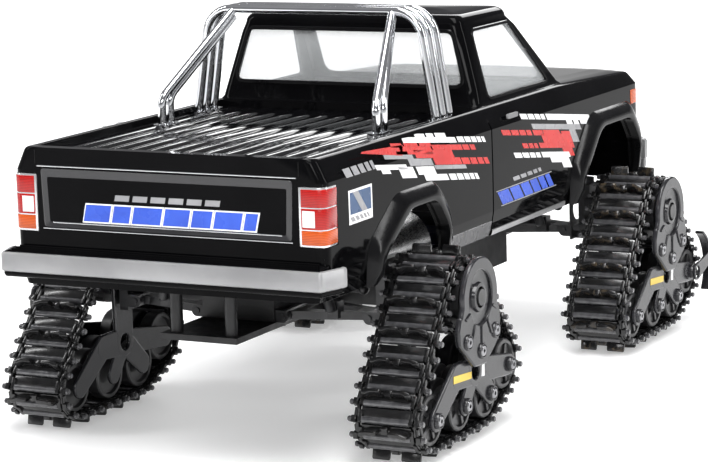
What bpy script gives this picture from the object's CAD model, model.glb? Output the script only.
import math

import bmesh
import bpy
from mathutils import Matrix, Vector


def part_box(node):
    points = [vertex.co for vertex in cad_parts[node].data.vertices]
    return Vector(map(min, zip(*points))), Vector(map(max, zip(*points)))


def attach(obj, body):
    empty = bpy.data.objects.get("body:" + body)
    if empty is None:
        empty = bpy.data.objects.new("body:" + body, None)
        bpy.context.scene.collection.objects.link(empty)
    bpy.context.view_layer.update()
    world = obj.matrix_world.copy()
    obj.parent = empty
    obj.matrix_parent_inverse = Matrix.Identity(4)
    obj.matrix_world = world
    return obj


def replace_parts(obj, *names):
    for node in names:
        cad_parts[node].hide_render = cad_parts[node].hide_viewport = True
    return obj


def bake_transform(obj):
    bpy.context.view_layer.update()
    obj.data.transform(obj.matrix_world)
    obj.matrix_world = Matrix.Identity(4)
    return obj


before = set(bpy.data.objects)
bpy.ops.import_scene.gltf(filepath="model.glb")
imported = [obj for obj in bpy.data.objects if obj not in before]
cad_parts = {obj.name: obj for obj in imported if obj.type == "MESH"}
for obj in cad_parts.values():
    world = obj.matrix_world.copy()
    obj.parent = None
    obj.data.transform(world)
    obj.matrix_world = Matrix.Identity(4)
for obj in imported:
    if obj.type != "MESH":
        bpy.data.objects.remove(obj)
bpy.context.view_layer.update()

# ------------------------------------------------------------------ driving dimensions, mm
MM = 0.001
HALF_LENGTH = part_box("rear_bumper")[0][1] / -MM
REAR_HUB_Y = -HALF_LENGTH + 98.0
FRONT_HUB_Y = REAR_HUB_Y + 257.0
ENDS = {"rear": REAR_HUB_Y, "front": FRONT_HUB_Y}
SIDES = (-1, 1)            # left, right
TAIL_Y = REAR_HUB_Y - 87.5
NOSE_Y = FRONT_HUB_Y + 47.5
BUMPER_Y = FRONT_HUB_Y + 62.0
HUB_Z = 72.0
TRACK_X = 97.0
SILL_Z = 82.5
WAIST_Z = 96.0
CREASE_Z = 138.0
RAIL_Z = 149.0
BED_Z = 145.0
BODY_X = 84.0
CAB_BASE_Y = (-12.0, 96.0)
CAB_ROOF_Y = (-6.0, 50.0)
CAB_BASE_X = 76.0
CAB_ROOF_X = 62.0
ROOF_Z = 196.5
WINDOW_LOW = RAIL_Z + 2.6
WINDOW_HIGH = ROOF_Z - 10.0
GAP_Y = -14.6
FLARE_X = 90.5
LAMP_X = (70.6, 84.0)
LAMP_Z = (108.2, 136.4)
WHITE = (1.0, 1.0, 1.0)
BUMP_DEPTH = 0.0002        # metres, the depth of a full-strength grain


# ------------------------------------------------------------------ node helpers
class Nodes:
    """A small builder for the nodes of one material, or of the world."""

    def __init__(self, owner, shader="Principled BSDF", place="Object"):
        owner.use_nodes = True
        self.tree = owner.node_tree
        self.shader = self.tree.nodes[shader]
        self.place = self.tree.nodes.new("ShaderNodeTexCoord").outputs[place]

    def feed(self, node, inputs):
        """Sets a node's inputs, or links them where an output is given."""
        for key, value in inputs.items():
            if isinstance(value, bpy.types.NodeSocket):
                self.tree.links.new(value, node.inputs[key])
            else:
                node.inputs[key].default_value = value

    def add(self, kind, inputs, **values):
        node = self.tree.nodes.new(kind)
        for key, value in values.items():
            setattr(node, key, value)
        self.feed(node, inputs)
        return node

    def noise(self, scale, detail=4.0, stretch=None):
        place = self.place
        if stretch:
            place = self.add("ShaderNodeMapping", {"Vector": place, "Scale": stretch}).outputs[0]
        inputs = {"Vector": place, "Scale": scale, "Detail": detail}
        return self.add("ShaderNodeTexNoise", inputs).outputs["Fac"]

    def ramp(self, value, *stops):
        """A colour band; each stop is a position and a colour."""
        node = self.add("ShaderNodeValToRGB", {"Fac": value})
        band = node.color_ramp
        while len(band.elements) < len(stops):
            band.elements.new(1.0)
        for element, (position, colour) in zip(band.elements, stops):
            element.position = position
            element.color = (*colour, 1.0)
        return node.outputs["Color"]

    def span(self, value, low, high, start=0.3, stop=0.7):
        """Spreads the values from start to stop over low to high."""
        inputs = {"Value": value, "From Min": start, "From Max": stop, "To Min": low,
                  "To Max": high}
        return self.add("ShaderNodeMapRange", inputs).outputs["Result"]

    def mix(self, factor, a, b, blend="MIX"):
        inputs = {0: factor, 6: a, 7: b}
        node = self.add("ShaderNodeMix", inputs, data_type="RGBA", blend_type=blend)
        return node.outputs[2]

    def shade(self, inputs, relief, strength):
        """Sets the shader's inputs and lays a fine relief over it."""
        grain = {"Height": relief, "Strength": strength, "Distance": BUMP_DEPTH}
        bump = self.add("ShaderNodeBump", grain)
        self.feed(self.shader, {**inputs, "Normal": bump.outputs["Normal"]})


# ------------------------------------------------------------------ materials
MATERIALS = {}


def new_material(name):
    MATERIALS[name] = bpy.data.materials.new(name)
    return Nodes(MATERIALS[name])


def surface(name, dark, light, rough, metal=0.0, blotch=60.0, grain=2500.0, bump=0.08,
            coat=0.0, stretch=None, level=0.5):
    """A colour that drifts between two tones, with uneven roughness and a fine grain."""
    n = new_material(name)
    n.shade({"Base Color": n.ramp(n.noise(blotch, 6.0, stretch), (0.32, dark), (0.68, light)),
             "Roughness": n.span(n.noise(blotch * 2.3, 5.0, stretch), *rough),
             "Metallic": metal, "Specular IOR Level": level, "Coat Weight": coat,
             "Coat Roughness": 0.04}, n.noise(grain, 2.0, stretch), bump)


def tinted_lens(name, colour, deep):
    """Tinted clear plastic with fine vertical optics behind a smooth face."""
    n = new_material(name)
    wave = n.add("ShaderNodeTexWave", {"Scale": 420.0, "Distortion": 0.4, "Vector": n.place},
                 wave_type="BANDS", bands_direction="Z").outputs["Fac"]
    tone = n.ramp(wave, (0.1, deep), (0.9, colour))
    patch = n.ramp(n.noise(90.0), (0.35, (0.86, 0.86, 0.86)), (0.7, WHITE))
    n.shade({"Base Color": n.mix(1.0, tone, patch, "MULTIPLY"),
             "Roughness": n.span(n.noise(160.0), 0.1, 0.2), "Coat Weight": 0.3,
             "Specular IOR Level": 0.3, "Coat Roughness": 0.03}, wave, 0.15)


def clear_glazing(name):
    """Thin clear polycarbonate with a faint haze."""
    n = new_material(name)
    haze = n.ramp(n.noise(40.0), (0.3, (0.80, 0.83, 0.84)), (0.7, (0.90, 0.92, 0.93)))
    n.shade({"Base Color": haze, "Roughness": n.span(n.noise(70.0), 0.02, 0.06), "IOR": 1.45,
             "Alpha": 0.22}, n.noise(22.0), 0.04)


def track_plastic(name):
    """Near-black moulded links, each a little different, with brown dust on some edges."""
    n = new_material(name)
    tone = n.add("ShaderNodeAttribute", {}, attribute_name="tone").outputs["Fac"]
    base = n.ramp(n.noise(140.0, 8.0), (0.3, (0.004, 0.004, 0.0044)),
                  (0.7, (0.012, 0.012, 0.0125)))
    dust = n.ramp(n.noise(260.0, 8.0), (0.50, (0.0, 0.0, 0.0)), (0.80, WHITE))
    weight = n.add("ShaderNodeMath", {0: dust, 1: tone}, operation="MULTIPLY").outputs[0]
    n.shade({"Base Color": n.mix(weight, base, (0.13, 0.095, 0.055, 1.0)),
             "Roughness": n.span(n.noise(300.0, 6.0), 0.14, 0.26)}, n.noise(1500.0, 6.0), 0.08)


def decal_film(name, colour, fade):
    """Printed vinyl film: a clean colour with faint unevenness and a satin face."""
    surface(name, fade, colour, (0.22, 0.34), blotch=45.0, grain=1800.0, bump=0.03, level=0.2)


surface("body_gloss", (0.0015, 0.0015, 0.0018), (0.003, 0.003, 0.0034), (0.03, 0.08),
        blotch=25.0, grain=700.0, bump=0.010, level=0.05)
surface("body_satin", (0.003, 0.003, 0.0034), (0.007, 0.007, 0.0075), (0.10, 0.18),
        bump=0.03, level=0.12)
surface("recess_grey", (0.055, 0.055, 0.058), (0.085, 0.085, 0.09), (0.22, 0.34), blotch=50.0,
        bump=0.05)
surface("frame_grey", (0.022, 0.022, 0.024), (0.030, 0.030, 0.032), (0.16, 0.24), blotch=30.0,
        bump=0.03)
surface("rib_gloss", (0.002, 0.002, 0.0024), (0.004, 0.004, 0.0045), (0.03, 0.08), blotch=25.0,
        grain=700.0, bump=0.010, level=0.4)
surface("silver_paint", (0.27, 0.27, 0.275), (0.35, 0.35, 0.355), (0.28, 0.42), metal=0.4,
        blotch=35.0, grain=5000.0)
surface("lip_grey", (0.13, 0.13, 0.135), (0.19, 0.19, 0.195), (0.34, 0.5), blotch=80.0,
        bump=0.1)
surface("chrome", (0.62, 0.63, 0.65), (0.78, 0.79, 0.81), (0.04, 0.12), metal=1.0, blotch=30.0,
        grain=500.0, bump=0.015)
surface("steel", (0.42, 0.42, 0.43), (0.62, 0.62, 0.62), (0.2, 0.36), metal=1.0, blotch=200.0,
        grain=3000.0, bump=0.06, stretch=(1.0, 1.0, 12.0))
surface("chassis", (0.006, 0.006, 0.0065), (0.014, 0.014, 0.015), (0.3, 0.46), blotch=90.0,
        bump=0.14, level=0.35)
surface("arm", (0.010, 0.010, 0.011), (0.022, 0.022, 0.024), (0.3, 0.46), blotch=110.0,
        bump=0.12)
surface("unit_grey", (0.010, 0.010, 0.0115), (0.022, 0.022, 0.025), (0.14, 0.26), blotch=70.0,
        bump=0.04, coat=0.1, level=0.4)
surface("gunmetal", (0.16, 0.16, 0.17), (0.30, 0.30, 0.31), (0.18, 0.3), metal=0.9,
        blotch=200.0, grain=3000.0, bump=0.05)
surface("wheel", (0.011, 0.011, 0.012), (0.024, 0.024, 0.025), (0.28, 0.42), blotch=120.0,
        bump=0.1)
surface("battery", (0.015, 0.03, 0.20), (0.03, 0.06, 0.34), (0.16, 0.3), blotch=40.0,
        bump=0.04, coat=0.4)
surface("servo", (0.012, 0.012, 0.012), (0.022, 0.022, 0.022), (0.36, 0.5))
surface("controller", (0.05, 0.055, 0.09), (0.08, 0.085, 0.13), (0.26, 0.4), metal=0.9,
        stretch=(1.0, 8.0, 1.0))
surface("yellow", (0.62, 0.42, 0.02), (0.78, 0.56, 0.05), (0.3, 0.45))
surface("bezel", (0.55, 0.55, 0.56), (0.74, 0.74, 0.75), (0.14, 0.26), metal=0.7)
surface("stud", (0.045, 0.045, 0.048), (0.10, 0.10, 0.105), (0.10, 0.20), metal=0.25,
        blotch=300.0, bump=0.04, coat=0.5)
decal_film("white_film", (0.86, 0.86, 0.86), (0.78, 0.78, 0.79))
decal_film("red_film", (0.60, 0.020, 0.016), (0.50, 0.014, 0.012))
decal_film("grey_film", (0.33, 0.33, 0.34), (0.26, 0.26, 0.27))
decal_film("blue_film", (0.05, 0.12, 0.62), (0.04, 0.09, 0.50))
decal_film("slate_film", (0.055, 0.10, 0.20), (0.04, 0.08, 0.16))
tinted_lens("lamp_red", (0.50, 0.010, 0.008), (0.26, 0.004, 0.004))
tinted_lens("lamp_orange", (0.66, 0.11, 0.012), (0.44, 0.055, 0.006))
tinted_lens("lamp_white", (0.86, 0.86, 0.86), (0.72, 0.72, 0.72))
clear_glazing("glazing")
track_plastic("track")


# ------------------------------------------------------------------ mesh helpers
def finish_piece(obj, material, body="chassis", smooth=35.0):
    obj.data.materials.clear()
    obj.data.materials.append(MATERIALS[material])
    if smooth:
        obj.data.polygons.foreach_set("use_smooth", [True] * len(obj.data.polygons))
        obj.data.set_sharp_from_angle(angle=math.radians(smooth))
    if body:
        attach(obj, body)
    return obj


def add_object(name, data):
    obj = bpy.data.objects.new(name, data)
    bpy.context.scene.collection.objects.link(obj)
    return obj


def mesh_data(name, bm):
    data = bpy.data.meshes.new(name)
    bm.to_mesh(data)
    bm.free()
    return data


def baked(obj):
    """Mesh data of an object's shape, with its modifiers or curve bevel applied."""
    graph = bpy.context.evaluated_depsgraph_get()
    return bpy.data.meshes.new_from_object(obj.evaluated_get(graph))


def mesh_object(name, points, faces):
    """A mesh from points in millimetres."""
    data = bpy.data.meshes.new(name)
    data.from_pydata([(x * MM, y * MM, z * MM) for x, y, z in points], [], faces)
    data.validate()
    bm = bmesh.new()
    bm.from_mesh(data)
    bmesh.ops.recalc_face_normals(bm, faces=bm.faces)
    return add_object(name, mesh_data(name, bm))


def modify(obj, kind, **values):
    """Adds one modifier and bakes it into the mesh."""
    mod = obj.modifiers.new(kind.lower(), kind)
    for key, value in values.items():
        setattr(mod, key, value)
    data = baked(obj)
    obj.modifiers.clear()
    obj.data = data
    return obj


def bevelled(obj, width, segments=2, angle=30.0):
    return modify(obj, "BEVEL", width=width * MM, segments=segments, limit_method="ANGLE",
                  angle_limit=math.radians(angle), use_clamp_overlap=True)


def cut(obj, cutters):
    for cutter in cutters:
        modify(obj, "BOOLEAN", object=cutter, operation="DIFFERENCE", solver="EXACT")
        bpy.data.objects.remove(cutter)
    return obj


def joined(name, objects):
    """Joins meshes that share one material into one piece."""
    bm = bmesh.new()
    for obj in objects:
        bm.from_mesh(obj.data)
        bpy.data.objects.remove(obj)
    return add_object(name, mesh_data(name, bm))


def mirrored(obj, side):
    """Makes a right-hand piece left-handed where side is -1."""
    if side < 0:
        obj.data.transform(Matrix.Diagonal((-1, 1, 1, 1)))
        obj.data.flip_normals()
    return obj


def rectangle(u0, u1, v0, v1):
    return [(u0, v0), (u1, v0), (u1, v1), (u0, v1)]


def rounded(points, radius, steps=5):
    """A closed outline with its corners rounded; radius is one number or one a corner."""
    radii = radius if isinstance(radius, list) else [radius] * len(points)
    out = []
    for i, (corner, r) in enumerate(zip(points, radii)):
        p = Vector(corner)
        a = Vector(points[i - 1]) - p
        b = Vector(points[(i + 1) % len(points)]) - p
        half = a.angle(b) / 2
        reach = min(r / math.tan(half), a.length * 0.49, b.length * 0.49)
        start, end = p + a.normalized() * reach, p + b.normalized() * reach
        for k in range(steps + 1):
            t = k / steps
            out.append(tuple(start * (1 - t) ** 2 + p * 2 * t * (1 - t) + end * t * t))
    return out


def prism(name, outline, axis, low, high):
    """An outline given thickness along X, Y or Z; it holds the other two coordinates."""
    place = {"X": lambda u, v, w: (w, u, v), "Y": lambda u, v, w: (u, w, v),
             "Z": lambda u, v, w: (u, v, w)}[axis]
    rings = [[place(u, v, w) for u, v in outline] for w in (low, high)]
    return skin(name, rings, True, True, True)


def skin(name, rings, closed=False, cap_start=False, cap_end=False):
    """A surface through rings that all have the same number of points."""
    n = len(rings[0])
    points = [p for ring in rings for p in ring]
    faces = []
    for i in range(len(rings) - 1):
        for j in range(n if closed else n - 1):
            k = (j + 1) % n
            faces.append([i * n + j, i * n + k, (i + 1) * n + k, (i + 1) * n + j])
    if cap_start:
        faces.append(list(range(n)))
    if cap_end:
        faces.append(list(range((len(rings) - 1) * n, len(rings) * n)))
    return mesh_object(name, points, faces)


def turned(name, profile, centre, axis="X", steps=48):
    """A lathe-turned solid: profile holds (distance along the axis, radius)."""
    cx, cy, cz = centre
    rings = []
    for along, radius in profile:
        ring = []
        for u, v in circle(0.0, 0.0, radius, steps):
            x, y, z = (along, u, v) if axis == "X" else (u, v, along)
            ring.append((cx + x, cy + y, cz + z))
        rings.append(ring)
    return skin(name, rings, True, True, True)


def circle(u, v, r, steps=40):
    turns = [2 * math.pi * i / steps for i in range(steps)]
    return [(u + r * math.cos(a), v + r * math.sin(a)) for a in turns]


def curved(name, loops, **values):
    """A mesh from bevelled curves through loops of points in millimetres."""
    curve = bpy.data.curves.new(name, "CURVE")
    for key, value in values.items():
        setattr(curve, key, value)
    for loop in loops:
        spline = curve.splines.new("POLY")
        spline.points.add(len(loop) - 1)
        spline.use_cyclic_u = curve.dimensions == "2D"
        for point, (x, y, z) in zip(spline.points, loop):
            point.co = (x * MM, y * MM, z * MM, 1.0)
    holder = add_object(name, curve)
    data = baked(holder)
    bpy.data.objects.remove(holder)
    return add_object(name, data)


def tube(name, path, radius, steps=16):
    return curved(name, [path], dimensions="3D", bevel_depth=radius * MM,
                  bevel_resolution=steps // 4, use_fill_caps=True)


def side_tag(name, x):
    return f"{name}_{'right' if x > 0 else 'left'}"


# ------------------------------------------------------------------ body shell
def body_half_section(y, inset, bed):
    """Right half of the body section, from the sill up to the centre line, as (x, z)."""
    hood_y = CAB_BASE_Y[1] - 10
    forward = max(0.0, (y - hood_y) / (NOSE_Y - hood_y))
    shoulder = RAIL_Z - 4.6 * forward
    if y > NOSE_Y - NOSE_R:
        roll = min(1.0, (y - NOSE_Y + NOSE_R) / NOSE_R)
        shoulder -= 6.0 * (1 - math.sqrt(max(0.0, 1 - roll * roll)))
    crown = shoulder + 1.8 * forward
    deck = BED_Z if bed else shoulder
    corners = [(80.6, SILL_Z), (83.0, 90.0), (BODY_X, WAIST_Z), (84.1, 118.0), (83.9, CREASE_Z),
               (78.6, shoulder)]
    if bed:
        corners += [(73.6, shoulder), (73.0, deck)]
    else:
        corners += [(70.0, shoulder + (crown - shoulder) * 0.4),
                    (60.0, shoulder + (crown - shoulder) * 0.7)]
    outline = [(0.0, SILL_Z)] + corners + [(0.0, deck if bed else crown)]
    radii = [0.0, 0.6, 3.0, 4.0, 20.0, 0.8, 3.6, 0.9, 0.9, 0.0]
    smooth = rounded(outline, radii, 4)[5:-5]
    return [(x - inset, z) for x, z in smooth] + [(0.0, outline[-1][1])]


def body_ring(y, inset=0.0, bed=False):
    right = body_half_section(y, inset, bed)
    left = [(-x, z) for x, z in reversed(right[:-1])]
    return [(x, y, z) for x, z in right + left]


def arch_outline(end, grow=0.0):
    """The wheel arch opening as (y, z), open at the bottom."""
    back, ahead, top, rise, run = {"rear": (-38.0, 38.0, 114.5, 20.0, 31.0),
                                   "front": (-49.0, 38.0, 121.5, 27.0, 28.0)}[end]
    y0, y1, top = ENDS[end] + back - grow, ENDS[end] + ahead + grow, top + grow
    corners = [(y0 - 1, SILL_Z - 12), (y0 + 1, top - rise), (y0 + run, top), (y1 - 16, top),
               (y1 - 3, top - 15), (y1 + 1, SILL_Z - 12)]
    return rounded(corners, [0, 14, 18, 14, 16, 0], 6)


def cab_edges(z):
    """Half width, back and front of the cab at a height."""
    rise = (z - RAIL_Z) / (ROOF_Z - RAIL_Z)
    half = CAB_BASE_X + (CAB_ROOF_X - CAB_BASE_X) * rise
    back, front = [b + (r - b) * rise for b, r in zip(CAB_BASE_Y, CAB_ROOF_Y)]
    return half, back, front


def cab_ring(z, inset, edge_z=None, corner=6.0):
    half, back, front = cab_edges(z if edge_z is None else edge_z)
    half, back, front = half - inset, back + inset, front - inset
    outline = rounded([(half, back), (half, front), (-half, front), (-half, back)], corner, 6)
    return [(x, y, z) for x, y in outline]


def window_outlines():
    """Side windows as (y, z); the rear window and windscreen as (x, z)."""
    side = [(1.0, WINDOW_LOW), (80.0, WINDOW_LOW), (51.5, WINDOW_HIGH), (4.0, WINDOW_HIGH)]
    rear = [(-67.5, 158.6), (67.5, 158.6), (59.5, 187.0), (-59.5, 187.0)]
    front = [(-66.5, 152.0), (66.5, 152.0), (56.0, 188.5), (-56.0, 188.5)]
    return rounded(side, [4, 2.5, 4, 4], 5), rounded(rear, 5.0, 5), rounded(front, 5.0, 5)


def window_cutters():
    side, rear, front = window_outlines()
    return [prism("cut_a", side, "X", 50, 95), prism("cut_b", side, "X", -95, -50),
            prism("cut_c", rear, "Y", -25, 12), prism("cut_d", front, "Y", 40, 115)]


def inner_ring(y, top):
    """Section of the hollow inside the body at one station."""
    right = [(79.2, SILL_Z - 5), (81.6, 90.0), (82.6, WAIST_Z), (82.6, top - 6.0), (80.0, top)]
    left = [(-x, z) for x, z in reversed(right)]
    return [(x, y, z) for x, z in right + left]


TAIL_R = 5.0               # rounding of the tail panel's upright edges
NOSE_R = 9.0
TURN_STEPS = 6


def build_body():
    turn = [math.pi / 2 * i / TURN_STEPS for i in range(TURN_STEPS + 1)]
    rings = [body_ring(TAIL_Y + TAIL_R * (1 - math.cos(a)), TAIL_R * (1 - math.sin(a)))
             for a in turn[:-1]]
    bed0, bed1 = TAIL_Y + 6.5, GAP_Y - 1.5
    rings += [body_ring(TAIL_Y + TAIL_R), body_ring(bed0 - 0.6)]
    rings += [body_ring(bed0 + (bed1 - bed0) * t / 20, bed=True) for t in range(21)]
    cab0, cab1 = GAP_Y + 1.0, NOSE_Y - NOSE_R
    rings.append(body_ring(bed1 + 0.5))
    rings += [body_ring(cab0 + (cab1 - cab0) * t / 24) for t in range(25)]
    rings += [body_ring(cab1 + NOSE_R * math.sin(a), 5.0 * (1 - math.cos(a))) for a in turn[1:]]
    shell = skin("body_panels", rings, True, True, True)
    hollow = [inner_ring(y, top) for y, top in (
        (TAIL_Y + 1.5, BED_Z - 1.5), (GAP_Y, BED_Z - 1.5), (CAB_BASE_Y[1], BED_Z - 1.5),
        (cab1, RAIL_Z - 8.0), (NOSE_Y - 1.6, RAIL_Z - 14.0))]
    deck = [(x, y) for x, y, _ in cab_ring(RAIL_Z, 2.6)]
    cutters = [skin("cut_hollow", hollow, True, True, True)]
    cutters += [prism("cut_arch", arch_outline(end), "X", -110, 110) for end in ENDS]
    cutters.append(prism("cut_deck", deck, "Z", 138, 160))
    for side in SIDES:
        seam = rectangle(GAP_Y - 0.7, GAP_Y + 0.7, 70, 160)
        cutters.append(prism("cut_gap", seam, "X", side * 82.0, side * 92.0))
        pocket = rounded(rectangle(side * LAMP_X[0], side * 92.0, *LAMP_Z), 1.2, 3)
        cutters.append(prism("cut_lamp", pocket, "Y", TAIL_Y - 5, TAIL_Y + 12.6))
    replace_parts(finish_piece(cut(shell, cutters), "body_gloss"), "body_shell")


def build_cab():
    """The greenhouse: pillars and roof, with the window openings cut out."""
    rings = [cab_ring(RAIL_Z - 0.8, -1.6, RAIL_Z), cab_ring(RAIL_Z + 0.2, -0.6, RAIL_Z)]
    rings += [cab_ring(RAIL_Z + 1.4 + 6.8 * i, 0.0) for i in range(6)]
    edge = ROOF_Z - 7.0
    for i in range(7):
        a = math.pi / 2 * i / 6
        rings.append(cab_ring(edge + 5.4 * math.sin(a), 5.4 * (1 - math.cos(a)), edge + 2.0))
    for inset, rise in ((12.0, 5.9), (20.0, 6.4), (26.0, 6.8)):
        rings.append(cab_ring(edge + rise, inset, edge + 2.0, corner=5.0))
    cab = skin("cab_greenhouse", rings, closed=True, cap_end=True)
    modify(cab, "SOLIDIFY", thickness=1.4 * MM, offset=-1.0)
    finish_piece(cut(cab, window_cutters()), "body_gloss", smooth=40.0)


def pane(outline, place, depth):
    """A thin pane: an outline mapped onto a flat cab face."""
    inner = [place(u, v) for u, v in outline]
    outer = [tuple(a + b for a, b in zip(p, depth)) for p in inner]
    return skin("pane", [inner, outer], True, True, True)


def build_glazing():
    side, rear, front = window_outlines()
    panes = [pane(side, lambda y, z: (s * (cab_edges(z)[0] - 1.1), y, z), (-s * 0.5, 0, 0))
             for s in SIDES]
    panes.append(pane(rear, lambda x, z: (x, cab_edges(z)[1] + 1.1, z), (0, 0.5, 0)))
    panes.append(pane(front, lambda x, z: (x, cab_edges(z)[2] - 1.6, z), (0, -0.5, 0)))
    glass = finish_piece(joined("window_panes", panes), "glazing")
    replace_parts(glass, "cab_glazing")


def bead(outline, place, half_width):
    """A raised bead that follows an outline mapped onto a surface."""
    rings = []
    for i, (u, v) in enumerate(outline):
        pu, pv = outline[i - 1]
        qu, qv = outline[(i + 1) % len(outline)]
        size = math.hypot(qu - pu, qv - pv) or 1.0
        nu, nv = (qv - pv) / size, (pu - qu) / size
        rings.append([place(u + nu * half_width * w, v + nv * half_width * w, lift)
                      for w, lift in ((-1, 0.0), (-0.7, 0.45), (0.7, 0.45), (1, 0.0))])
    return skin("bead", rings + rings[:1])


def build_window_seals():
    side, rear, _ = window_outlines()
    parts = [bead(side, lambda y, z, d: (s * (cab_edges(z)[0] - 0.1 + d), y, z), 0.9)
             for s in SIDES]
    parts.append(bead(rear, lambda x, z, d: (x, cab_edges(z)[1] + 0.1 - d, z), 1.1))
    finish_piece(joined("window_seals", parts), "body_satin")


def build_flares():
    """The arch lips, each swept round its opening."""
    profile = ((8.4, -0.3), (7.4, 1.0), (5.4, 3.2), (3.0, 4.5), (1.0, 5.0), (0.0, 4.6),
               (0.0, -3.0))
    for end in ENDS:
        for side in SIDES:
            rings = [[] for _ in arch_outline(end)]
            for grow, lift in profile:
                for ring, (y, z) in zip(rings, arch_outline(end, grow)):
                    tuck = 1.0 if z > SILL_Z + 6 else max(0.25, (z - SILL_Z + 12) / 18)
                    x = BODY_X + (lift * tuck if lift > 0 else lift)
                    ring.append((side * min(x, FLARE_X), y, max(z, SILL_Z + 0.4)))
            lip = skin(side_tag(f"arch_lip_{end}", side), rings)
            finish_piece(lip, "body_satin", smooth=50.0)


def build_bed():
    """Long pressed ribs on the bed floor."""
    y0, y1 = TAIL_Y + 10.0, GAP_Y - 5.0
    section = ((-3.2, 0.0), (-2.4, 0.9), (-1.2, 1.4), (1.2, 1.4), (2.4, 0.9), (3.2, 0.0))
    stations = ((y0, 0.05), (y0 + 1.5, 0.8), (y0 + 3, 1.0), (y1 - 3, 1.0), (y1 - 1.5, 0.8),
                (y1, 0.05))
    ribs = []
    for i in range(13):
        x = -63.0 + 126.0 * i / 12
        ribs.append(skin("rib", [[(x + u, y, BED_Z - 0.05 + v * k) for u, v in section]
                                 for y, k in stations]))
    finish_piece(joined("bed_ribs", ribs), "rib_gloss", smooth=60.0)


# ------------------------------------------------------------------ tail, lamps and bumpers
def build_tailgate():
    outer = rounded([(-67.0, 111.0), (67.0, 111.0), (68.0, 139.0), (-68.0, 139.0)], 1.6, 3)
    inner = rounded([(-64.0, 113.4), (64.0, 113.4), (64.8, 135.0), (-64.8, 135.0)], 1.0, 3)

    def ring(outline, proud, narrow=1.0):
        return [(x * narrow, TAIL_Y - proud, z) for x, z in outline]

    rings = [ring(outer, -0.2), ring(outer, 0.5), ring(outer, 0.7, 0.992), ring(inner, 0.12)]
    finish_piece(skin("tailgate_frame", rings, closed=True), "frame_grey", smooth=25.0)
    rings = [ring(inner, 0.12), ring(inner, 0.1, 0.99)]
    finish_piece(skin("tailgate_panel", rings, closed=True, cap_end=True), "body_gloss")
    beads = []
    for z, half, lift in ((113.2, 62.0, 0.5), (110.2, 67.6, 1.0), (140.2, 70.0, 0.9)):
        y = TAIL_Y - lift * 0.3
        beads.append(tube("bead", [(-half, y, z), (half, y, z)], 0.42))
    finish_piece(joined("tailgate_beads", beads), "chrome")
    seams = [tube("seam", [(x, TAIL_Y - 0.02, 141.0), (x, TAIL_Y - 0.02, 147.6)], 0.22)
             for x in (-71.2, 71.2)]
    finish_piece(joined("tailgate_seams", seams), "body_satin")


def lamp_block(name, z0, z1, x0, x1, proud, material, side):
    """One lens of a tail lamp: its plan wraps round the corner of the body."""
    depth = TAIL_Y + 12.0
    out = BODY_X + 0.35 + proud
    back = TAIL_Y - 0.5 - proud
    plan = [(x0, depth), (x0, back)]
    if x1 >= BODY_X:
        for k in range(7):
            a = math.pi / 2 * k / 6
            plan.append((out - 4.6 + 4.6 * math.sin(a), back + 4.6 - 4.6 * math.cos(a)))
        plan.append((out, depth))
    else:
        plan += [(x1, back), (x1, depth)]
    lens = prism(side_tag(name, side), [(side * x, y) for x, y in plan], "Z", z0, z1)
    return finish_piece(bevelled(lens, 0.35, angle=50.0), material)


def build_tail_lamps():
    low, high = LAMP_Z
    x0 = LAMP_X[0]
    for side in SIDES:
        bezel = lamp_block("tail_lamp_bezel", low + 0.25, high - 0.25, x0 + 0.25, BODY_X, -0.25,
                           "bezel", side)
        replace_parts(bezel, "lamps")
        for name, z0, z1, inner, outer, proud, material in (
                ("orange", low + 1.2, low + 8.0, 1.4, BODY_X, 0.0, "lamp_orange"),
                ("red_low", low + 8.4, low + 18.2, 1.4, BODY_X, -0.05, "lamp_red"),
                ("red_top", low + 18.6, high - 1.2, 1.4, BODY_X, 0.0, "lamp_red"),
                ("white", low + 9.4, low + 17.2, 2.0, x0 + 8.6, 0.15, "lamp_white")):
            lamp_block(f"tail_lamp_{name}", z0, z1, x0 + inner, outer, proud, material, side)


def sweep_round(name, path, profile):
    """A bar with one profile swept along a plan path; profile holds (inward, z)."""
    rings = []
    for i, (x, y) in enumerate(path):
        a = Vector(path[max(i - 1, 0)])
        b = Vector(path[min(i + 1, len(path) - 1)])
        here = Vector((x, y))
        ins = (here - a).normalized() if i else (b - here).normalized()
        outs = (b - here).normalized() if i < len(path) - 1 else ins
        mid = (ins + outs).normalized()
        normal = Vector((-mid.y, mid.x)) / max(0.4, mid.dot(ins))
        rings.append([(x + normal.x * d, y + normal.y * d, z) for d, z in profile])
    return skin(name, rings, True, True, True)


def eased(points, radius):
    """A plan path with its inner corners rounded."""
    loop = rounded(points, [0.0] + [radius] * (len(points) - 2) + [0.0], 5)
    return [loop[0]] + loop[6:-6] + [loop[-1]]


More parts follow.
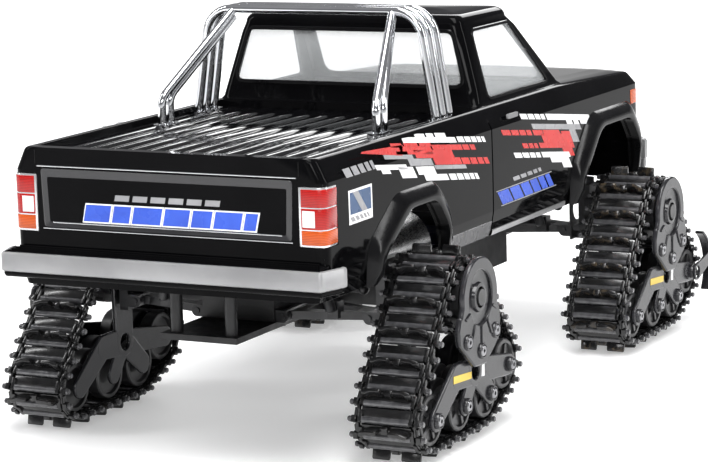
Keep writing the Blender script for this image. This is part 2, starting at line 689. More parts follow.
def build_rear_bumper():
    end_y = TAIL_Y + 6.8
    path = eased([(-91.0, end_y), (-91.0, TAIL_Y + 4.0), (-86.5, -HALF_LENGTH),
                  (86.5, -HALF_LENGTH), (91.0, TAIL_Y + 4.0), (91.0, end_y)], 2.2)
    face = [(0.0, 90.4), (0.0, 98.2), (0.5, 99.0), (1.5, 99.2), (2.2, 99.2), (2.2, 89.8),
            (0.6, 89.9)]
    bar = sweep_round("rear_bumper_face", path, face)
    finish_piece(bar, "silver_paint", smooth=40.0)
    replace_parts(bar, "rear_bumper")
    core = [(1.1, 89.8), (1.1, 88.6), (1.8, 87.4), (2.8, 87.0), (5.2, 87.0), (5.2, 98.4),
            (2.3, 98.4), (2.3, 89.8)]
    finish_piece(sweep_round("rear_bumper_core", path, core), "body_gloss",
                 smooth=40.0)
    ridges = []
    for k in range(4):
        d, z = 2.4 + 2.0 * k, 100.0 + 0.5 * k
        run = [(-84.0 + k, -HALF_LENGTH), (84.0 - k, -HALF_LENGTH)]
        ridge = [(d, 98.8), (d + 0.2, z), (d + 1.3, z), (d + 1.5, 98.8)]
        ridges.append(sweep_round("ridge", run, ridge))
    finish_piece(joined("step_pad_ridges", ridges), "body_gloss", smooth=30.0)
    base = sweep_round("step_pad_base", [(-85.0, -HALF_LENGTH), (85.0, -HALF_LENGTH)],
                       [(1.6, 98.4), (1.6, 99.5), (10.8, 100.2), (10.8, 98.4)])
    finish_piece(base, "body_satin", smooth=30.0)


def nose_ring(outline, proud, narrow=1.0):
    return [(x * narrow, NOSE_Y + proud, z) for x, z in outline]


def build_front():
    """Front bumper, grille and head lamps."""
    path = eased([(86.4, NOSE_Y + 0.6), (86.4, NOSE_Y + 5), (78.0, BUMPER_Y), (-78.0, BUMPER_Y),
                  (-86.4, NOSE_Y + 5), (-86.4, NOSE_Y + 0.6)], 4.0)
    face = [(0.0, 94.0), (0.0, 103.6), (0.7, 104.6), (2.0, 105.0), (7.0, 105.0), (7.0, 93.4),
            (0.6, 93.4)]
    bar = sweep_round("front_bumper_face", path, face)
    finish_piece(bar, "silver_paint", smooth=40.0)
    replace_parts(bar, "front_bumper")
    lip = [(0.8, 93.2), (0.8, 89.0), (1.8, 86.6), (3.0, 86.0), (8.0, 86.0), (8.0, 93.2)]
    finish_piece(sweep_round("front_bumper_lip", path, lip), "lip_grey",
                 smooth=40.0)
    edge = rounded(rectangle(-44, 44, 110, 131), 1.5, 3)
    hole = rounded(rectangle(-41.5, 41.5, 112.2, 128.8), 1.0, 3)
    rings = [nose_ring(edge, 0.1), nose_ring(edge, 2.2), nose_ring(edge, 2.6, 0.99),
             nose_ring(hole, 2.2), nose_ring(hole, 0.3)]
    finish_piece(skin("grille_surround", rings, closed=True), "chrome",
                 smooth=25.0)
    bars = []
    for i in range(6):
        z = 113.4 + 2.7 * i
        bar = prism("bar", rectangle(-41.6, 41.6, z, z + 1.2), "Y", NOSE_Y + 0.2, NOSE_Y + 1.7)
        bars.append(bevelled(bar, 0.2))
    finish_piece(joined("grille_bars", bars), "body_satin")
    for side in SIDES:
        low, high = sorted((side * 47.0, side * 75.0))
        face = rounded(rectangle(low, high, 112.0, 130.0), 1.6, 4)
        lens = prism(side_tag("head_lamp_lens", side), face, "Y", NOSE_Y + 0.2, NOSE_Y + 2.3)
        finish_piece(bevelled(lens, 0.6, 3), "lamp_white")
        rim = [nose_ring(rounded(rectangle(low - g, high + g, 112 - g, 130 + g), 2.0, 4), proud)
               for g, proud in ((1.4, 0.0), (1.4, 1.6), (0.8, 2.0), (0.1, 1.7))]
        finish_piece(skin(side_tag("head_lamp_rim", side), rim, closed=True), "bezel")
        marker = rounded(rectangle(NOSE_Y - 15.0, NOSE_Y - 6.5, 127.0, 135.0), 0.6, 2)
        lens = prism(side_tag("side_marker", side), marker, "X", side * (BODY_X - 1.0),
                     side * (BODY_X + 0.3))
        finish_piece(bevelled(lens, 0.25), "lamp_orange")


# ------------------------------------------------------------------ decals
FALL = 0.135               # how far a stripe drops for each millimetre it runs forward
SLANT = 0.9                # lean of the cut ends of a stripe
FILM = 0.04                # thickness of the vinyl


def side_x(z):
    """Half width of the body side at a height."""
    outline = [point for point in body_half_section(0.0, 0.0, True) if point[0] > 79.6]
    for (xa, za), (xb, zb) in zip(outline, outline[1:]):
        if za <= z <= zb and zb > za:
            return xa + (xb - xa) * (z - za) / (zb - za)
    return outline[-1][0]


def on_side(side, lift, y, z):
    """A point just off the body side, kept under the rounded rail."""
    z = min(z, RAIL_Z - 1.2)
    return (side * (side_x(z) + lift), y, z)


def stripe(y0, y1, low, high, fall=FALL):
    """A slanted block on the body side; low and high are its heights carried back to y = 0."""
    lean = (high - low) * SLANT
    return [(y, row - fall * y) for y, row in ((y0, low), (y1, low), (y1 - lean, high),
                                               (y0 - lean, high))]


def stripes(*blocks):
    return [stripe(*block) for block in blocks]


def dashes(start, stop, low, high, count, gap=1.3, fall=FALL):
    """A row of slanted dashes that shrink toward the far end."""
    shares = [1.0 + 0.25 * (count - i) for i in range(count)]
    unit = (stop - start) / sum(shares)
    out = []
    for share in shares:
        out.append(stripe(start, start + unit * share - gap, low, high, fall))
        start += unit * share
    return out


def level_dashes(start, stop, low, high, count, gap):
    return dashes(start, stop, low, high, count, gap, 0.0)


def blend_points(a, b, t):
    return [p + (q - p) * t for p, q in zip(a, b)]


def side_film(name, blocks, material, side, lift, rows=5, columns=8):
    """Thin film blocks laid on the curved body side."""
    parts = []
    for low0, low1, high1, high0 in blocks:
        ends = [(blend_points(low0, low1, j / columns), blend_points(high0, high1, j / columns))
                for j in range(columns + 1)]
        rings = [[on_side(side, lift, *blend_points(a, b, k / rows)) for a, b in ends]
                 for k in range(rows + 1)]
        parts.append(skin("block", rings))
    film = joined(side_tag(name, side), parts)
    modify(film, "SOLIDIFY", thickness=FILM * MM, offset=0.0)
    finish_piece(film, material, smooth=None)


def bed_stripes():
    """The white, red and grey stripes behind the door."""
    white = stripes((-117, -57, 129.6, 132.3), (-104, -93, 132.2, 134.0),
                    (-91, -83, 132.2, 134.2), (-81, -69, 132.2, 134.4),
                    (-146, -113, 116.8, 119.2), (-140, -131, 114.9, 116.9),
                    (-119, -103, 112.6, 118.0), (-101, -81, 114.0, 118.0),
                    (-93, -67, 111.0, 114.1))
    white += dashes(-55, -21, 129.8, 132.6, 5) + dashes(-65, -30, 111.0, 114.1, 5)
    red = [[(-162, 146.6), (-118, 139.4), (-118, 144.6), (-161, 147.3)]]
    red += stripes((-119, -84, 124.0, 128.0), (-130, -118, 127.4, 129.4),
                   (-116, -101, 127.9, 129.5), (-99, -86, 127.9, 129.5),
                   (-84, -50, 125.9, 128.6), (-124, -112, 124.0, 125.5),
                   (-103, -60, 122.1, 126.0), (-82, -51, 118.7, 122.2))
    red += dashes(-49, -33, 125.9, 128.6, 2) + dashes(-50, -17, 118.7, 122.0, 4)
    grey = stripes((-137, -106, 121.8, 123.9), (-110, -84, 118.4, 121.9),
                   (-82, -46, 116.5, 118.5))
    return white, red, grey


def cab_stripes():
    """The white, red and grey stripes on the door and front fender."""
    white = stripes((57, 117, 141.4, 144.6), (84, 92, 139.2, 141.5), (94, 101, 139.2, 141.5),
                    (103, 118, 139.4, 141.5), (50, 88, 121.3, 124.2), (62, 76, 118.5, 121.4),
                    (78, 90, 115.6, 121.4))
    white += dashes(23, 56, 141.6, 144.4, 4) + dashes(14, 49, 121.3, 124.0, 4)
    red = stripes((39, 52, 133.1, 135.9), (52, 74, 133.9, 136.0), (52, 92, 129.0, 134.0),
                  (47, 94, 126.3, 129.1), (80, 94, 122.0, 126.4), (76, 88, 134.0, 135.4))
    red += dashes(-1, 38, 133.1, 135.9, 4) + dashes(25, 46, 126.3, 128.9, 3)
    return white, red, stripes((38, 104, 136.3, 139.2), (92, 101, 129.5, 136.4))


def build_side_decals():
    """Plain slanted stripes, blank blocks and a blank label, the same on both sides."""
    white, red, grey = [bed + cab for bed, cab in zip(bed_stripes(), cab_stripes())]
    lines = stripes((-4.6, 67.4, 96.9, 97.4, 0.0), (-10.6, 61.2, 105.1, 105.6, 0.0))
    marks = stripes((-162.5, -157.0, 119.8, 130.0, 0.0))
    films = (
        ("stripe_grey", grey, "grey_film", 0.06),
        ("stripe_red", red, "red_film", 0.10),
        ("stripe_white", white, "white_film", 0.14),
        ("door_blocks", level_dashes(-3, 66, 97.6, 104.8, 6, 1.8), "blue_film", 0.08),
        ("door_lines", lines + level_dashes(12, 50, 107.6, 109.8, 5, 1.8), "grey_film", 0.08),
        ("blank_label", [rectangle(-175.9, -151.8, 115.2, 131.2)], "white_film", 0.06),
        ("blank_label_field", [rectangle(-174.6, -153.1, 119.8, 130.0)], "slate_film", 0.10),
        ("blank_label_marks", marks + level_dashes(-173, -153.6, 116.4, 118.6, 5, 1.4),
         "grey_film", 0.14),
        ("rail_dashes", level_dashes(-177, -145, 137.4, 142.0, 5, 1.6), "grey_film", 0.08))
    for side in SIDES:
        for name, blocks, material, lift in films:
            side_film(name, blocks, material, side, lift)


def build_tail_decals():
    """A row of plain blocks with a light edge under a row of dashes."""
    spans = ((-45, -31), (-29.4, -20), (-18.4, -3), (-1.4, 12), (13.6, 24), (25.6, 40),
             (41.6, 48))
    edges = [(x0 - 0.7, x1 + 0.7, 113.9, 123.3) for x0, x1 in spans]
    blocks = [(x0, x1, 114.6, 122.6) for x0, x1 in spans]
    row = [(-27.5 + 9.8 * i, -19.6 + 9.8 * i, 125.0, 127.8) for i in range(6)]
    for name, shapes, material, lift in (
            ("tailgate_blocks_edge", edges, "white_film", 0.16),
            ("tailgate_blocks", blocks, "blue_film", 0.22),
            ("tailgate_dashes", row, "grey_film", 0.18)):
        parts = []
        for x0, x1, z0, z1 in shapes:
            lean = (z1 - z0) * 0.22
            outline = [(x0, z0), (x1, z0), (x1 + lean, z1), (x0 + lean, z1)]
            parts.append(prism("block", outline, "Y", TAIL_Y - lift, TAIL_Y - lift + 0.05))
        finish_piece(joined(name, parts), material, smooth=None)


def moulding(name, side, stations, section, material):
    """A strip along the body side; section holds (height, how far it stands out)."""
    rings = [[(side * (side_x(z) + (lift * tall if lift > 0 else lift)), y, z)
              for z, lift in section] for y, tall in stations]
    finish_piece(skin(side_tag(name, side), rings), material)


def build_trim():
    """Door handles, sill strips and the grey panel ahead of the rear arch."""
    grip = rounded(rectangle(4.8, 17.8, 140.9, 143.3), 1.0, 4)
    panel_y = REAR_HUB_Y + 49.5
    for side in SIDES:
        rings = [[(side * (side_x(z) + lift), 11.3 + (y - 11.3) * shrink, z) for y, z in grip]
                 for lift, shrink in ((-0.4, 1.0), (0.5, 1.0), (0.9, 0.93))]
        handle = skin(side_tag("door_handle", side), rings, closed=True, cap_end=True)
        finish_piece(handle, "lip_grey")
        moulding("sill_strip", side,
                 ((GAP_Y + 2.5, 0.7), (GAP_Y + 3.0, 1.0), (84.0, 1.0), (84.6, 0.7)),
                 ((82.7, -0.2), (82.9, 0.6), (84.2, 0.9), (85.6, 0.6), (85.9, -0.2)),
                 "silver_paint")
        moulding("quarter_panel", side,
                 [(y, 1.0) for y in (panel_y, panel_y + 0.5, GAP_Y - 1.4, GAP_Y - 0.9)],
                 ((82.9, -0.2), (83.1, 0.35), (90.8, 0.35), (91.2, -0.2)), "recess_grey")


# ------------------------------------------------------------------ track chains
PIN_R_HUB = 18.0
PIN_R_WHEEL = 14.5
ROAD_Z = 21.0
WHEELS = {"rear": (-43.0, ROAD_Z), "mid": (-11.0, ROAD_Z), "front": (18.0, ROAD_Z),
          "raised": (41.0, 30.6)}
LINKS = 38
LINK_PITCH = 8.1


def belt(circles):
    """Straight runs and arcs of a belt round circles given anticlockwise as (y, z, r)."""
    tangents = []
    for (ya, za, ra), (yb, zb, rb) in zip(circles, circles[1:] + circles[:1]):
        heading = math.atan2(zb - za, yb - ya)
        gap = math.hypot(yb - ya, zb - za)
        normal = heading - math.acos((ra - rb) / gap)
        tangents.append((normal, math.sqrt(gap * gap - (ra - rb) ** 2)))
    pieces = []
    for i, (y, z, r) in enumerate(circles):
        start = tangents[i - 1][0]
        turn = (tangents[i][0] - start) % (2 * math.pi)
        pieces.append(("arc", y, z, r, start, turn * r))
        pieces.append(("run", y, z, r, tangents[i][0], tangents[i][1]))
    return pieces


def along(pieces, s):
    """The point (y, z) at the distance s along the belt."""
    for kind, y, z, r, angle, length in pieces:
        if s <= length:
            if kind == "arc":
                a = angle + s / r
                return y + r * math.cos(a), z + r * math.sin(a)
            ty, tz = -math.sin(angle), math.cos(angle)
            return (y + r * math.cos(angle) + s * ty, z + r * math.sin(angle) + s * tz)
        s -= length
    return along(pieces, s)


def pin_points():
    """Where the hinge pins of one chain sit, as (y from the hub, z)."""
    pieces = belt([(*WHEELS["rear"], PIN_R_WHEEL), (*WHEELS["front"], PIN_R_WHEEL),
                   (*WHEELS["raised"], PIN_R_WHEEL), (0.0, HUB_Z, PIN_R_HUB)])
    total = sum(piece[5] for piece in pieces)
    return [along(pieces, total * i / LINKS) for i in range(LINKS)]


def solid_loft(bm, rings):
    """Adds a capped solid through rings of points."""
    rings = [[bm.verts.new(point) for point in ring] for ring in rings]
    n = len(rings[0])
    for low, high in zip(rings, rings[1:]):
        for i in range(n):
            k = (i + 1) % n
            bm.faces.new((low[i], low[k], high[k], high[i]))
    bm.faces.new(rings[0][::-1])
    bm.faces.new(rings[-1])


def solid_box(bm, x0, x1, y0, y1, z0, z1, taper=0.0):
    """Adds a box whose lower face is narrower by taper on each side along Y."""
    solid_loft(bm, [[(x, y, z) for x, y in rectangle(x0, x1, y0 + t, y1 - t)]
                    for z, t in ((z0, taper), (z1, 0.0))])


def solid_rod(bm, x0, x1, r, sides):
    solid_loft(bm, [[(x, y, z) for y, z in circle(0.0, 0.0, r, sides)] for x in (x0, x1)])


def lug_pad(bm, side, y_mid, tip):
    """A raised cleat that curls toward the pin at its outer end."""
    plan = ((3.0, -1.3), (8.6, -1.3), (12.8, 0.1), (12.6, 2.0), (10.6, 2.2), (8.2, 0.9),
            (3.0, 0.9))
    solid_loft(bm, [[(side * (7.9 + (x - 7.9) * (1 - shrink * 0.12)),
                      y_mid + y * (1 - shrink * 0.35), z) for x, y in plan]
                    for z, shrink in ((-0.9, 0.0), (-tip + 1.0, 0.25), (-tip, 0.7))])


def shape_mesh(bm, name, bevel=0.0):
    """Closes a bmesh into mesh data with softened edges, in its own millimetres."""
    bmesh.ops.recalc_face_normals(bm, faces=bm.faces)
    obj = add_object(name, mesh_data(name, bm))
    if bevel:
        bevelled(obj, bevel / MM, angle=40.0)
    data = obj.data
    bpy.data.objects.remove(obj)
    return data


def link_shape():
    """One track link in its own axes: +Y along the track, -Z outward to the ground."""
    bm = bmesh.new()
    back = -LINK_PITCH + 2.3
    solid_box(bm, -12.8, 12.8, back, -1.5, -0.7, 1.1)
    solid_box(bm, -11.4, 11.4, -2.2, -0.8, -0.5, 1.0)
    for s in SIDES:
        for x0, x1, y0, y1, z in ((12.2, 14.1, back + 1.1, 1.5, 1.55),
                                  (14.0, 15.4, back - 1.2, -1.7, 1.25),
                                  (15.2, 17.6, -1.75, 1.65, 1.7),
                                  (15.3, 16.5, back + 0.2, -1.5, 0.95)):
            solid_box(bm, s * x0, s * x1, y0, y1, -z, z)
    return shape_mesh(bm, "link", 0.25)


def cleat_shape():
    """The pair of curled cleats and the middle tooth of one link, in the link's axes."""
    bm = bmesh.new()
    mid = -LINK_PITCH / 2
    for s in SIDES:
        lug_pad(bm, s, mid + 0.2, 6.5)
    solid_box(bm, -1.7, 1.7, mid - 2.0, mid + 1.7, -3.6, -0.8, 0.3)
    solid_box(bm, -3.2, 3.2, mid - 0.9, mid + 0.8, -2.6, -0.8, 0.2)
    return shape_mesh(bm, "cleat", 0.3)


def pin_shape():
    """One hinge bar with a round stud at each end."""
    bm = bmesh.new()
    solid_rod(bm, -12.2, 12.2, 1.75, 18)
    for s in SIDES:
        for x0, x1, r in ((17.5, 18.9, 1.15), (18.5, 19.3, 1.4), (19.2, 19.7, 1.1)):
            solid_rod(bm, s * x0, s * x1, r, 14)
    return shape_mesh(bm, "pin")


def place_copies(name, shapes):
    """Joins placed copies of link meshes, each with its own tone value."""
    bm = bmesh.new()
    tones = []
    for data, matrix, tone in shapes:
        first = len(bm.verts)
        bm.from_mesh(data)
        bm.verts.ensure_lookup_table()
        for v in bm.verts[first:]:
            v.co = matrix @ v.co
        tones += [tone] * len(data.polygons)
    data = mesh_data(name, bm)
    data.attributes.new("tone", "FLOAT", "FACE").data.foreach_set("value", tones)
    return add_object(name, data)


def build_chain(end, side, link, cleat, pin):
    hub_y = ENDS[end]
    tag = side_tag(end, side)
    pins = pin_points()
    links, cleats, bars = [], [], []
    for i in range(LINKS):
        (ya, za), (yb, zb) = pins[i], pins[(i + 1) % LINKS]
        turn = Matrix.Rotation(math.atan2(zb - za, yb - ya), 4, "X")
        at = Matrix.Translation((side * TRACK_X, hub_y + yb, zb)) @ turn
        place = Matrix.Scale(MM, 4) @ at
        tone = ((i * 37 + int(hub_y) * 11 + side * 5) % 13) / 13
        links.append((link, place, 0.05 * tone))
        bars.append((pin, place, 0.0))
        if i % 2:
            cleats.append((cleat, place, 0.45 + 0.55 * tone if end == "front" else 0.08 * tone))
    for name, shapes, material in (("track_links", links, "track"),
                                   ("track_cleats", cleats, "track"),
                                   ("track_pins", bars, "stud")):
        piece = place_copies(f"{name}_{tag}", shapes)
        finish_piece(piece, material, f"track_unit_{tag}", 40.0)
        if shapes is links:
            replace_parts(piece, f"track_chain_{tag}")


# ------------------------------------------------------------------ track units
COVER_BOSSES = [(-15.5, 53.0), (0.0, 46.0), (16.0, 53.0)]
WAIST = (0.0, 36.0)
LEG_ELBOW = (-20.0, 36.8)
COVER_R = 19.5
LABELS = (("unit_label", [(-25.2, 34.6), (-5.2, 33.2), (-5.0, 36.6), (-25.0, 38.2)], "yellow"),
          ("unit_tag", [(6.4, 31.8), (9.6, 31.4), (10.2, 39.2), (7.2, 39.8)], "white_film"))
GUARD_R = 22.8
GUARD_TIP = (62.6, 36.0)


def strap_outline(a, ra, b, rb, steps=14):
    """The outline round two circles."""
    heading = math.atan2(b[1] - a[1], b[0] - a[0])
    gap = math.hypot(b[0] - a[0], b[1] - a[1])
    lean = math.acos((ra - rb) / gap)
    out = []
    for (cy, cz), r, start, stop in ((b, rb, heading - lean, heading + lean),
                                     (a, ra, heading + lean, heading - lean + 2 * math.pi)):
        for k in range(steps + 1):
            t = start + (stop - start) * k / steps
            out.append((cy + r * math.cos(t), cz + r * math.sin(t)))
    return out


def hole(centre, r, steps):
    return circle(*centre, r, steps)[::-1]


def plate(name, outline, holes, x0, x1, bevel, side, hub_y):
    """A flat plate with rounded edges and holes, drawn as (y, z) beside the hub."""
    loops = [[(y, z, 0.0) for y, z in loop] for loop in [outline] + holes]
    obj = curved(name, loops, dimensions="2D", fill_mode="BOTH",
                 extrude=((x1 - x0) / 2 - bevel) * MM, bevel_depth=bevel * MM,
                 bevel_resolution=2, offset=-bevel * MM)
    upright = Matrix(((0, 0, 1, 0), (1, 0, 0, 0), (0, 1, 0, 0), (0, 0, 0, 1)))
    obj.data.transform(Matrix.Translation(((x0 + x1) / 2 * MM, hub_y * MM, 0)) @ upright)
    return mirrored(obj, side)


def cover_outline():
    """The pear-shaped cover round the hub."""
    head = [(COVER_R * math.cos(math.radians(a)), HUB_Z + COVER_R * math.sin(math.radians(a)))
            for a in range(-6, 187, 6)]
    skirt = rounded([(-22.5, 66.0), (-25.0, 60.0), (-24.6, 52.5), (-8.0, 39.4), (5.0, 38.6),
                     (20.5, 48.5), (22.5, 58.0), (20.6, 66.0)], [2, 4, 4, 4, 4, 4, 4, 2], 5)
    return head + skirt


def ring_boss(x, y, z, r):
    """A raised ring with a groove, as two pieces: the moulded ring and the screw inside."""
    ring = ((-1.6, r), (0.2, r), (0.7, r - 0.35), (0.7, r - 0.8), (0.2, r - 1.0),
            (-0.6, r - 1.0))
    screw = ((-0.6, r - 1.15), (0.5, r - 1.2), (0.9, r - 1.6), (0.9, 1.0), (-0.1, 0.95),
             (-0.1, 0.0))
    return [turned("boss", [(x + a, radius) for a, radius in profile], (0, y, z), "X", 28)
            for profile in (ring, screw)]


def unit_legs(side, hub_y):
    """The inner and outer leg plates: straps from the waist to the hub and each wheel."""
    window = hole(WAIST, 4.2, 28)
    spans = [((0.0, HUB_Z), 9.0, WAIST, 8.0, [hole((0, HUB_Z), 5.0, 32), window]),
             (WAIST, 7.2, LEG_ELBOW, 6.6, [window]), (LEG_ELBOW, 6.6, WHEELS["rear"], 5.5, []),
             (WAIST, 7.0, WHEELS["front"], 5.5, [window]),
             (WAIST, 6.0, WHEELS["mid"], 5.0, [window]),
             (WAIST, 7.0, WHEELS["raised"], 5.5, [window])]
    return [plate("leg", strap_outline(a, ra, b, rb), holes, low + 0.06 * k, high - 0.06 * k,
                  0.8, side, hub_y)
            for low, high in ((79.4, 81.8), (114.4, 117.0))
            for k, (a, ra, b, rb, holes) in enumerate(spans)]


def unit_dish(name, side, hub_y):
    """The dished cap inside the cover."""
    profile = ((117.9, 13.6), (119.3, 13.4), (119.0, 12.4), (118.7, 9.0), (118.9, 7.4),
               (120.4, 6.8), (120.5, 5.2), (119.4, 4.8), (118.0, 4.7))
    return skin(name, [[(side * x, hub_y + y, z) for y, z in circle(0, HUB_Z, r, 48)]
                       for x, r in profile], closed=True)


def unit_ribs(side, hub_y):
    """Short ribs that spread down from the dish to the bosses."""
    ribs = []
    for angle, reach in ((205, 19.0), (240, 22.0), (270, 22.0), (300, 22.0), (335, 19.0)):
        c, s = math.cos(math.radians(angle)), math.sin(math.radians(angle))
        inner, outer = [(d * c, HUB_Z + d * s) for d in (14.4, reach)]
        ribs.append(plate("rib", strap_outline(inner, 0.7, outer, 0.7, 6), [], 120.2, 121.3,
                          0.3, side, hub_y))
    return ribs


def unit_guard(name, side, hub_y):
    """The curved guard ahead of the raised wheel of a front unit."""
    y, z = WHEELS["raised"]
    rings = []
    for k in range(25):
        a = math.radians(-36 + 100 * k / 24)
        wide = 0.4 if 3 < k < 21 else 0.24
        rings.append([(side * x, hub_y + y + r * math.cos(a), z + r * math.sin(a))
                      for r, x in ((GUARD_R, 115.0), (GUARD_R, 120.2), (24.3, 120.0 + wide),
                                   (24.4, 115.2))])
    return bevelled(skin(name, rings, True, True, True), 0.4, angle=40.0)


def build_track_unit(end, side):
    tag = side_tag(end, side)
    body = f"track_unit_{tag}"
    hub_y = ENDS[end]

    def finish(piece, material="unit_grey", smooth=30.0):
        return finish_piece(piece, material, body, smooth)

    legs = finish(joined(f"unit_legs_{tag}", unit_legs(side, hub_y)))
    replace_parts(legs, f"track_frame_{tag}")
    finish(plate(f"unit_cover_{tag}", cover_outline(), [hole((0, HUB_Z), 13.0, 48)], 117.8,
                 120.6, 0.9, side, hub_y))
    finish(unit_dish(f"unit_dish_{tag}", side, hub_y))
    spots = [(121.0, y, z, 3.9) for y, z in COVER_BOSSES]
    spots += [(118.0, y, z, 3.8) for y, z in WHEELS.values()]
    rings, screws = zip(*(ring_boss(x, hub_y + y, z, r) for x, y, z, r in spots))
    finish(mirrored(joined(f"unit_bosses_{tag}", rings), side), smooth=35.0)
    finish(mirrored(joined(f"unit_screws_{tag}", screws), side), "gunmetal", 35.0)
    finish(joined(f"unit_ribs_{tag}", unit_ribs(side, hub_y)), smooth=35.0)
    for name, corners, material in LABELS:
        place = [(hub_y + y, z) for y, z in corners]
        finish(prism(f"{name}_{tag}", place, "X", side * 117.02, side * 117.12), material, 35.0)
    if end == "front":
        finish(unit_guard(f"unit_guard_{tag}", side, hub_y), smooth=35.0)
        arm = strap_outline(WHEELS["raised"], 4.8, GUARD_TIP, 3.4)
        finish(plate(f"unit_guard_arm_{tag}", arm, [hole(WHEELS["raised"], 3.5, 24)], 118.9,
                     120.4, 0.4, side, hub_y))


WHEEL_X = (82.4, 113.8)
WHEEL_R = 12.4
RIM_WIDE = 7.5
SPOKES = 5


def build_wheels(end, side):
    """Road wheels: stepped drums, each with a spoked outer face."""
    hub_y = ENDS[end]
    x0, x1 = WHEEL_X
    mid = (x0 + x1) / 2
    steps = []
    for a, b in ((x0, x0 + RIM_WIDE), (mid - 4.5, mid + 4.5), (x1 - RIM_WIDE, x1)):
        steps += [(a, 8.8), (a + 0.2, 11.9), (a + 0.8, WHEEL_R), (b - 0.8, WHEEL_R),
                  (b - 0.2, 11.9), (b, 8.8)]
    profile = [(x0 + 1.6, 3.4), (x0 + 1.6, 9.6), (x0 + 0.1, 10.2)] + steps[1:-1] + [
        (x1 - 0.1, 10.2), (x1 - 1.6, 9.6), (x1 - 1.6, 3.4)]
    for place, (y, z) in WHEELS.items():
        body = f"wheel_{place}_{side_tag(end, side)}"
        y += hub_y
        tyre = turned(f"{body}_tyre", profile, (0, y, z), "X", 40)
        face = [turned("cap", [(x1 - 1.7, 4.6), (x1 - 0.2, 4.4), (x1 - 0.2, 3.0)], (0, y, z),
                       "X", 24)]
        for k in range(SPOKES):
            a = 2 * math.pi * k / SPOKES
            u, v = math.cos(a), math.sin(a)
            spoke = [(y + d * u + w * v, z + d * v - w * u)
                     for d, w in ((4.0, -0.8), (9.7, -1.1), (9.7, 1.1), (4.0, 0.8))]
            face.append(prism("spoke", spoke, "X", x1 - 1.7, x1 - 0.5))
        for piece in (tyre, joined(f"{body}_face", face)):
            finish_piece(mirrored(piece, side), "wheel", body)
        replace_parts(tyre, body)


# ------------------------------------------------------------------ dampers
DAMPER_LOW = (47.0, 65.0)
DAMPER_HIGH = (34.0, 113.0)
DAMPER_Y = -14.6
SPRING_R = 5.6
SPRING_TURNS = 6.5
SPRING_POINTS = 110


def build_damper(end, side):
    tag = side_tag(end, side)
    y = ENDS[end] + DAMPER_Y
    low = Vector((side * DAMPER_LOW[0], y, DAMPER_LOW[1]))
    high = Vector((side * DAMPER_HIGH[0], y, DAMPER_HIGH[1]))
    length = (high - low).length
    arm = f"lower_arm_{tag}"
    tilt = (high - low).normalized().to_track_quat("Z", "Y").to_matrix().to_4x4()
    place = Matrix.Translation(low * MM) @ tilt
    for name, profile, material, body in (
            ("rod", [(2.4, 1.4), (length * 0.5, 1.4)], "steel", arm),
            ("seat", [(4.8, 3.0), (5.0, 5.4), (6.6, 5.6), (6.8, 3.4)], "arm", arm),
            ("eye_low", [(-2.6, 1.8), (-1.6, 2.6), (2.2, 2.6), (4.8, 2.2)], "arm", arm),
            ("barrel", [(length * 0.46, 3.8), (length * 0.47, 4.3), (length - 9.0, 4.3),
                        (length - 8.4, 5.2), (length - 4.6, 5.2), (length - 4.2, 3.0),
                        (length + 2.4, 2.6)], "unit_grey", "chassis")):
        piece = turned(f"damper_{name}_{tag}", profile, (0, 0, 0), "Z", 28)
        piece.data.transform(place)
        finish_piece(piece, material, body)
        if name == "rod":
            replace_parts(piece, f"damper_{tag}")
    start, stop = 7.6, length - 9.8
    points = []
    for k in range(SPRING_POINTS + 1):
        t = k / SPRING_POINTS
        a = 2 * math.pi * SPRING_TURNS * t
        local = Vector((SPRING_R * math.cos(a), SPRING_R * math.sin(a),
                        start + (stop - start) * t))
        points.append(tuple((place @ (local * MM)) / MM))
    coil = tube(f"damper_spring_{tag}", points, 0.65, 8)
    finish_piece(coil, "steel", None, 60.0)
    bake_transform(coil)


# ------------------------------------------------------------------ carried-over CAD pieces
CAD_FINISHES = {
    "chassis_tub": "chassis", "gear_cases": "chassis", "steering_link": "chassis",
    "battery_pack": "battery", "motor": "steel", "propeller_shaft": "steel",
    "speed_controller": "controller", "steering_servo": "servo", "roll_bar": "chrome",
    "lower_arm": "arm", "upper_arm": "arm", "upright": "arm", "hub_carrier": "arm",
    "steering_knuckle": "arm", "drive_sprocket": "wheel"}


def dress_cad():
    """Procedural materials for the CAD nodes that stay in view."""
    for name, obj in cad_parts.items():
        for start, key in CAD_FINISHES.items():
            if name.startswith(start):
                obj.data.materials.clear()
                obj.data.materials.append(MATERIALS[key])


# ------------------------------------------------------------------ stage
CAMERA_AT = (0.66663, -1.30525, 0.33201)      # metres
AZIMUTH = 28.3218                             # degrees round from straight behind
ELEVATION = 8.9239
ROLL = -1.8452


def area_light(name, place, target, size, power):
    lamp = bpy.data.lights.new(name, "AREA")
    lamp.shape = "RECTANGLE"
    lamp.size, lamp.size_y = size
    lamp.energy = power
    obj = add_object(name, lamp)
    obj.location = place
    obj.rotation_euler = (Vector(target) - Vector(place)).to_track_quat("-Z", "Y").to_euler()


def build_world():
    """A white horizon under a dimmer studio ceiling."""
    world = bpy.data.worlds.new("studio")
    n = Nodes(world, "Background", "Generated")
    height = n.add("ShaderNodeSeparateXYZ", {"Vector": n.place}).outputs["Z"]
    sky = n.ramp(height, (0.0, WHITE), (0.16, (0.16, 0.16, 0.17)), (0.8, (0.34, 0.34, 0.35)))
    n.feed(n.shader, {"Color": sky, "Strength": 0.95})
    bpy.context.scene.world = world


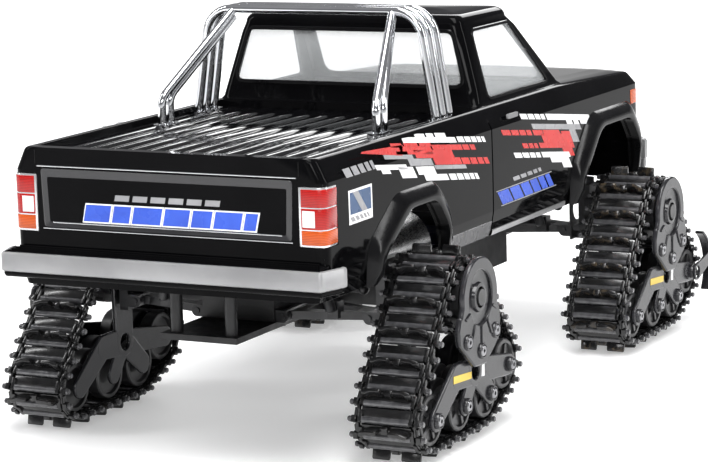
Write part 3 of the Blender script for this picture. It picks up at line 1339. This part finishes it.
def build_floor():
    """A pale floor that glows a little more away from the object, into the horizon."""
    bpy.ops.mesh.primitive_plane_add(size=12.0, location=(0, 0, 0))
    floor = bpy.context.object
    floor.name = "floor"
    n = new_material("studio_floor")
    tone = n.ramp(n.noise(1.5), (0.3, (0.80, 0.80, 0.80)), (0.7, (0.84, 0.84, 0.84)))
    away = n.add("ShaderNodeVectorMath", {0: n.place}, operation="LENGTH").outputs["Value"]
    n.feed(n.shader, {"Base Color": tone, "Roughness": 0.6, "Emission Color": (*WHITE, 1.0),
                      "Emission Strength": n.span(away, 0.35, 0.95, 0.5, 1.6)})
    floor.data.materials.append(MATERIALS["studio_floor"])


def build_stage():
    build_floor()
    build_world()
    area_light("overhead", (0.25, -0.35, 1.3), (0, 0, 0), (0.5, 1.4), 26.0)
    area_light("left_strip", (-1.3, -0.7, 0.9), (0, 0, 0.1), (0.14, 1.2), 9.0)
    area_light("tail_strip", (0.55, -1.5, 0.75), (0, -0.1, 0.1), (1.0, 0.16), 7.0)
    area_light("right_strip", (1.5, 0.5, 0.9), (0, 0.1, 0.1), (0.14, 1.2), 9.0)
    area_light("front_fill", (-0.3, 1.7, 1.0), (0, 0, 0.1), (1.2, 0.4), 12.0)
    bpy.context.scene.view_settings.view_transform = "Standard"


def build_camera():
    """A long lens, looking from behind and to the right, a little above the bed."""
    camera = bpy.data.cameras.new("camera")
    camera.sensor_width = 36.0
    camera.lens = 142.5
    camera.shift_x = 0.0788
    camera.shift_y = -0.058
    camera.clip_end = 50.0
    obj = add_object("camera", camera)
    around, down, lean = [math.radians(a) for a in (AZIMUTH, 90.0 - ELEVATION, ROLL)]
    obj.matrix_world = (Matrix.Translation(CAMERA_AT) @ Matrix.Rotation(around, 4, "Z")
                        @ Matrix.Rotation(down, 4, "X") @ Matrix.Rotation(lean, 4, "Z"))
    bpy.context.scene.camera = obj


# ------------------------------------------------------------------ build everything
build_stage()
build_camera()
dress_cad()
build_body()
build_cab()
build_glazing()
build_window_seals()
build_flares()
build_bed()
build_tailgate()
build_tail_lamps()
build_rear_bumper()
build_front()
build_side_decals()
build_tail_decals()
build_trim()
track_meshes = (link_shape(), cleat_shape(), pin_shape())
for end in ENDS:
    for side in SIDES:
        build_chain(end, side, *track_meshes)
        build_track_unit(end, side)
        build_wheels(end, side)
        build_damper(end, side)
